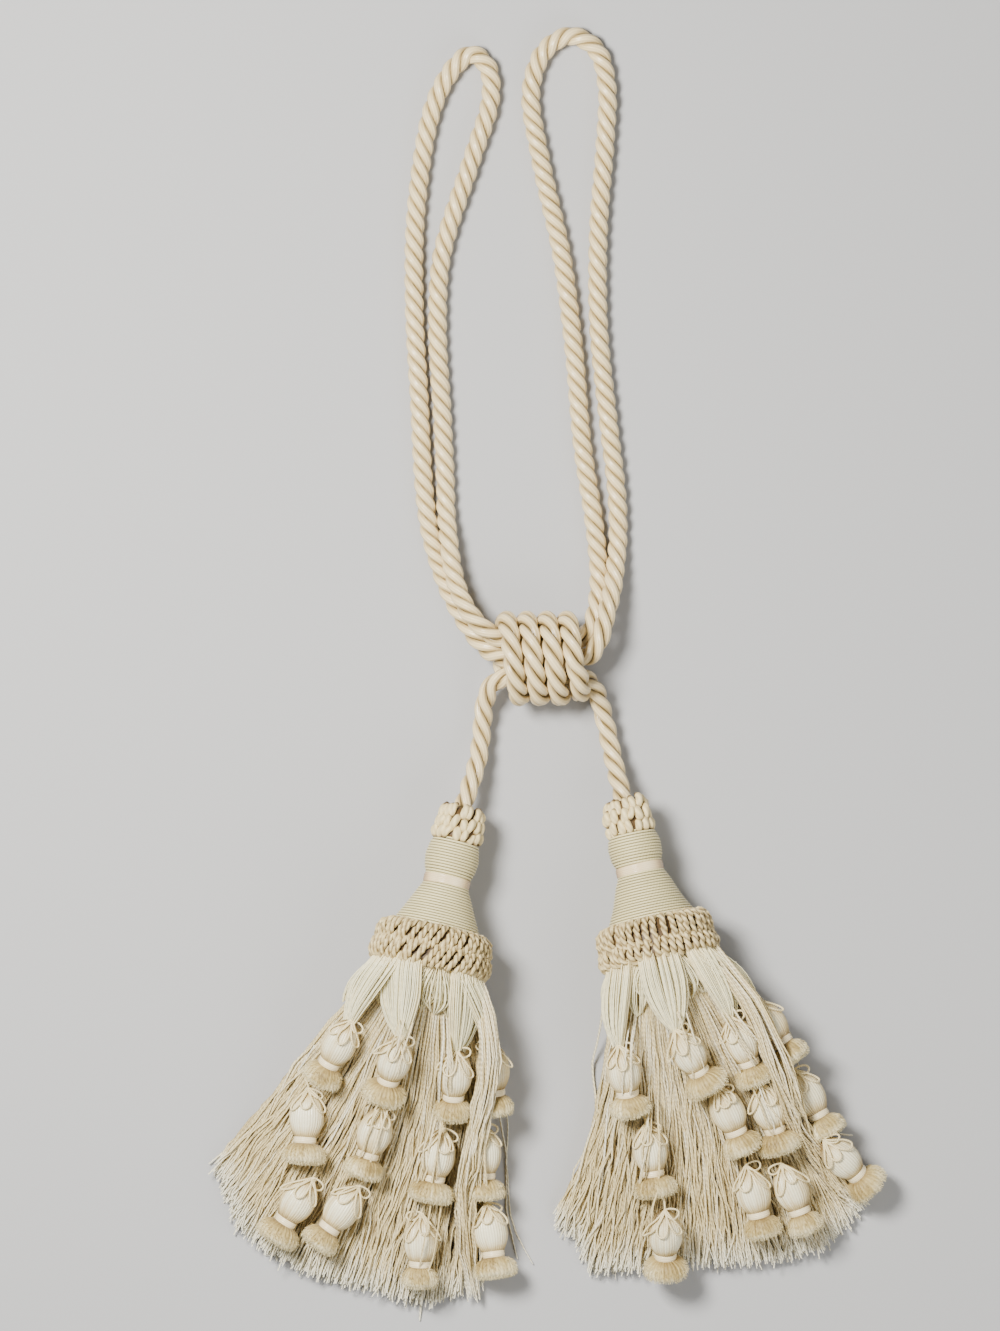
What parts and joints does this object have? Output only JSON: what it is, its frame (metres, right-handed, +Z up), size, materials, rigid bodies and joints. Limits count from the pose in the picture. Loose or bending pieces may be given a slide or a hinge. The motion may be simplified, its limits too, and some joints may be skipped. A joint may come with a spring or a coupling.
{
  "type": "double tassel curtain tieback",
  "caption": "Double tassel curtain tieback laid flat: a twisted rope in two tall loops, bound by a winding, whose two tails end in headed tassels with a fringe and small silk hangers.",
  "frame": {"origin": "on the floor under the middle of the box round the tassels and the winding, the rope left out", "axes": "+Y over the floor from the tassels to the rope's loops, +X to the right seen from above with the loops at the top, +Z up"},
  "size_m": [0.3371, 0.6386, 0.0604],
  "materials": {
    "ivory_rope": "glossy twisted viscose rope",
    "wound_cord": "fine glossy cord wound in ribs",
    "satin_band": "satin thread band",
    "knotted_cord": "twisted cord ruff",
    "fringe_yarn": "loose two-ply yarn fringe",
    "silk_floss": "glossy silk floss",
    "silk_hanger": "silk floss with a satin waist"
  },
  "bodies": {
    "root": {"rope": "ivory_rope", "binding_rope": "ivory_rope", "left_head": "wound_cord", "left_waist_band": "satin_band", "left_top_ruff": "knotted_cord", "left_base_ruff": "knotted_cord", "left_fringe": "fringe_yarn", "left_overskirt": "silk_floss", "left_hanger_11": "silk_hanger", "left_hanger_12": "silk_hanger", "left_hanger_13": "silk_hanger", "left_hanger_14": "silk_hanger", "left_hanger_21": "silk_hanger", "left_hanger_22": "silk_hanger", "left_hanger_23": "silk_hanger", "left_hanger_24": "silk_hanger", "left_hanger_31": "silk_hanger", "left_hanger_32": "silk_hanger", "left_hanger_33": "silk_hanger", "left_hanger_34": "silk_hanger", "right_head": "wound_cord", "right_waist_band": "satin_band", "right_top_ruff": "knotted_cord", "right_base_ruff": "knotted_cord", "right_fringe": "fringe_yarn", "right_overskirt": "silk_floss", "right_hanger_11": "silk_hanger", "right_hanger_12": "silk_hanger", "right_hanger_13": "silk_hanger", "right_hanger_14": "silk_hanger", "right_hanger_21": "silk_hanger", "right_hanger_22": "silk_hanger", "right_hanger_23": "silk_hanger", "right_hanger_24": "silk_hanger", "right_hanger_31": "silk_hanger", "right_hanger_32": "silk_hanger", "right_hanger_33": "silk_hanger", "right_hanger_34": "silk_hanger"}
  },
  "joints": []
}
